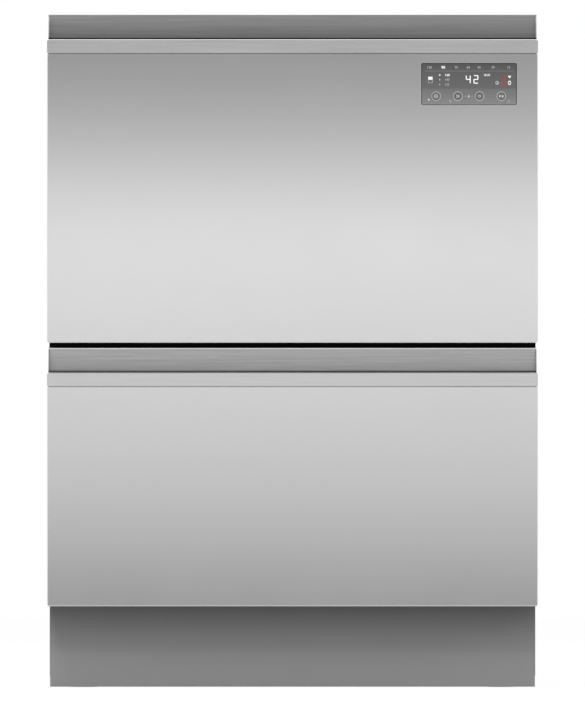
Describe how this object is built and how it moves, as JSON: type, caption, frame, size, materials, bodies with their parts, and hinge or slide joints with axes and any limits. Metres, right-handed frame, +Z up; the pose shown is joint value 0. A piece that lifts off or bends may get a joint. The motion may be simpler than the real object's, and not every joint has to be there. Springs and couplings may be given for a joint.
{
  "type": "dishwasher drawer",
  "caption": "Built-in double dishwasher drawer: two stainless-fronted pull-out wash tubs in one cabinet, with racks, spray arms, lids, controls and toe kick.",
  "frame": {"origin": "on the floor, under the middle of the machine's outer box", "axes": "+X to the right as seen from the front, +Y to the back, +Z up; the fronts face -Y"},
  "size_m": [0.599, 0.573, 0.822],
  "materials": {
    "stainless_front": "fine horizontal brushing, clear anti-fingerprint coat",
    "stainless_trim": "coarser horizontal brushing",
    "zinc_sheet": "zinc-coated steel sheet",
    "grey_kick": "smooth semi-matt grey",
    "black_rail": "black powder coat",
    "runner_steel": "bright zinc plate",
    "screw_steel": "bright zinc plate",
    "dark_plastic": "moulded, lightly textured",
    "frame_plastic": "moulded, lightly textured",
    "tub_plastic": "moulded polypropylene, satin",
    "lid_plastic": "moulded polypropylene, satin",
    "seal_rubber": "soft, matt",
    "motor": "plastic-coated motor with steel core",
    "filter_plastic": "moulded polypropylene",
    "spray_plastic": "moulded polypropylene",
    "coated_wire": "steel wire with a nylon coat",
    "basket_plastic": "moulded polypropylene",
    "dispenser_plastic": "moulded, satin gloss",
    "door_plastic": "moulded, satin gloss",
    "window_plastic": "smoked gloss window",
    "button_plastic": "satin with a light ring",
    "electronics": "black moulded housing",
    "valve_plastic": "white moulded nylon",
    "link_plastic": "moulded channel with hoses"
  },
  "bodies": {
    "cabinet": {"left_side_panel": "zinc_sheet", "right_side_panel": "zinc_sheet", "top_panel": "zinc_sheet", "back_panel": "zinc_sheet", "base_tray": "dark_plastic", "middle_rail": "black_rail", "toe_kick": "grey_kick", "levelling_feet": "dark_plastic", "runner_outer_rails": "runner_steel", "lid_lifters": "lid_plastic", "inlet_valve": "valve_plastic", "drain_outlet": "dark_plastic", "power_module": "electronics", "chassis_screws": "screw_steel"},
    "upper_drawer": {"upper_front_panel": "stainless_front", "upper_handle_lip": "stainless_trim", "upper_handle_recess": "stainless_trim", "upper_front_frame": "frame_plastic", "upper_tub": "tub_plastic", "upper_runner_inner_rails": "runner_steel", "upper_wash_motor": "motor", "upper_filter_plate": "filter_plastic", "upper_rack": "coated_wire", "upper_cutlery_basket": "basket_plastic", "upper_dispenser": "dispenser_plastic", "control_window": "window_plastic", "control_module": "electronics"},
    "upper_runner_middle": {"upper_runner_middle_rails": "runner_steel"},
    "upper_lid": {"upper_lid": "lid_plastic", "upper_lid_seal": "seal_rubber"},
    "upper_spray": {"upper_spray_arm": "spray_plastic"},
    "upper_tines": {"upper_folding_tines": "coated_wire"},
    "upper_shelf": {"upper_cup_shelf": "coated_wire"},
    "upper_detergent": {"upper_detergent_door": "door_plastic"},
    "upper_rear_arm": {"upper_rear_link": "link_plastic"},
    "upper_front_arm": {"upper_front_link": "link_plastic"},
    "lower_drawer": {"lower_front_panel": "stainless_front", "lower_handle_lip": "stainless_trim", "lower_handle_recess": "stainless_trim", "lower_front_frame": "frame_plastic", "lower_tub": "tub_plastic", "lower_runner_inner_rails": "runner_steel", "lower_wash_motor": "motor", "lower_filter_plate": "filter_plastic", "lower_rack": "coated_wire", "lower_cutlery_basket": "basket_plastic", "lower_dispenser": "dispenser_plastic"},
    "lower_runner_middle": {"lower_runner_middle_rails": "runner_steel"},
    "lower_lid": {"lower_lid": "lid_plastic", "lower_lid_seal": "seal_rubber"},
    "lower_spray": {"lower_spray_arm": "spray_plastic"},
    "lower_tines": {"lower_folding_tines": "coated_wire"},
    "lower_shelf": {"lower_cup_shelf": "coated_wire"},
    "lower_detergent": {"lower_detergent_door": "door_plastic"},
    "lower_rear_arm": {"lower_rear_link": "link_plastic"},
    "lower_front_arm": {"lower_front_link": "link_plastic"},
    "power_button": {"power_button": "button_plastic"},
    "program_button": {"program_button": "button_plastic"},
    "option_button": {"option_button": "button_plastic"},
    "start_button": {"start_button": "button_plastic"}
  },
  "joints": [
    {"name": "upper_drawer_slide", "type": "slide", "parent": "cabinet", "child": "upper_drawer", "axis": [0, -1, 0], "range_m": [0, 0.49]},
    {"name": "upper_runner_slide", "type": "slide", "parent": "cabinet", "child": "upper_runner_middle", "axis": [0, -1, 0], "range_m": [0, 0.245]},
    {"name": "upper_lid_lift", "type": "slide", "parent": "cabinet", "child": "upper_lid", "axis": [0, 0, -1], "range_m": [0, 0.007]},
    {"name": "upper_spray_spin", "type": "hinge", "parent": "upper_drawer", "child": "upper_spray", "pos_m": [0, -0.00525, 0.5065], "axis": [0, 0, 1], "continuous": true},
    {"name": "upper_tines_fold", "type": "hinge", "parent": "upper_drawer", "child": "upper_tines", "pos_m": [0.036, -0.00525, 0.5356], "axis": [0, -1, 0], "range_deg": [0, 90]},
    {"name": "upper_shelf_fold", "type": "hinge", "parent": "upper_drawer", "child": "upper_shelf", "pos_m": [-0.248, -0.00525, 0.6645], "axis": [0, -1, 0], "range_deg": [0, 80]},
    {"name": "upper_detergent_hinge", "type": "hinge", "parent": "upper_drawer", "child": "upper_detergent", "pos_m": [-0.1, -0.2273, 0.7025], "axis": [-1, 0, 0], "range_deg": [0, 95]},
    {"name": "upper_rear_arm_hinge", "type": "hinge", "parent": "cabinet", "child": "upper_rear_arm", "pos_m": [0.23, 0.2675, 0.4715], "axis": [0, 0, 1], "range_deg": [0, 32.8]},
    {"name": "upper_front_arm_hinge", "type": "hinge", "parent": "upper_rear_arm", "child": "upper_front_arm", "pos_m": [-0.22946, 0.24525, 0.4715], "axis": [0, 0, -1], "range_deg": [0, 65.59]},
    {"name": "lower_drawer_slide", "type": "slide", "parent": "cabinet", "child": "lower_drawer", "axis": [0, -1, 0], "range_m": [0, 0.49]},
    {"name": "lower_runner_slide", "type": "slide", "parent": "cabinet", "child": "lower_runner_middle", "axis": [0, -1, 0], "range_m": [0, 0.245]},
    {"name": "lower_lid_lift", "type": "slide", "parent": "cabinet", "child": "lower_lid", "axis": [0, 0, -1], "range_m": [0, 0.007]},
    {"name": "lower_spray_spin", "type": "hinge", "parent": "lower_drawer", "child": "lower_spray", "pos_m": [0, -0.00525, 0.16], "axis": [0, 0, 1], "continuous": true},
    {"name": "lower_tines_fold", "type": "hinge", "parent": "lower_drawer", "child": "lower_tines", "pos_m": [0.036, -0.00525, 0.1891], "axis": [0, -1, 0], "range_deg": [0, 90]},
    {"name": "lower_shelf_fold", "type": "hinge", "parent": "lower_drawer", "child": "lower_shelf", "pos_m": [-0.248, -0.00525, 0.27], "axis": [0, -1, 0], "range_deg": [0, 80]},
    {"name": "lower_detergent_hinge", "type": "hinge", "parent": "lower_drawer", "child": "lower_detergent", "pos_m": [-0.1, -0.2273, 0.296], "axis": [-1, 0, 0], "range_deg": [0, 95]},
    {"name": "lower_rear_arm_hinge", "type": "hinge", "parent": "cabinet", "child": "lower_rear_arm", "pos_m": [0.23, 0.2675, 0.125], "axis": [0, 0, 1], "range_deg": [0, 32.8]},
    {"name": "lower_front_arm_hinge", "type": "hinge", "parent": "lower_rear_arm", "child": "lower_front_arm", "pos_m": [-0.22946, 0.24525, 0.125], "axis": [0, 0, -1], "range_deg": [0, 65.59]},
    {"name": "power_button_press", "type": "slide", "parent": "upper_drawer", "child": "power_button", "axis": [0, 1, 0], "range_m": [0, 0.0008], "stiffness_N_per_m": 900},
    {"name": "program_button_press", "type": "slide", "parent": "upper_drawer", "child": "program_button", "axis": [0, 1, 0], "range_m": [0, 0.0008], "stiffness_N_per_m": 900},
    {"name": "option_button_press", "type": "slide", "parent": "upper_drawer", "child": "option_button", "axis": [0, 1, 0], "range_m": [0, 0.0008], "stiffness_N_per_m": 900},
    {"name": "start_button_press", "type": "slide", "parent": "upper_drawer", "child": "start_button", "axis": [0, 1, 0], "range_m": [0, 0.0008], "stiffness_N_per_m": 900}
  ],
  "couplings": [
    {"joint": "upper_runner_slide", "follows": "upper_drawer_slide", "ratio": 0.5},
    {"joint": "upper_rear_arm_hinge", "follows": "upper_drawer_slide", "rad_per_m": 1.1664},
    {"joint": "upper_front_arm_hinge", "follows": "upper_drawer_slide", "rad_per_m": 2.3328},
    {"joint": "lower_runner_slide", "follows": "lower_drawer_slide", "ratio": 0.5},
    {"joint": "lower_rear_arm_hinge", "follows": "lower_drawer_slide", "rad_per_m": 1.1664},
    {"joint": "lower_front_arm_hinge", "follows": "lower_drawer_slide", "rad_per_m": 2.3328}
  ]
}
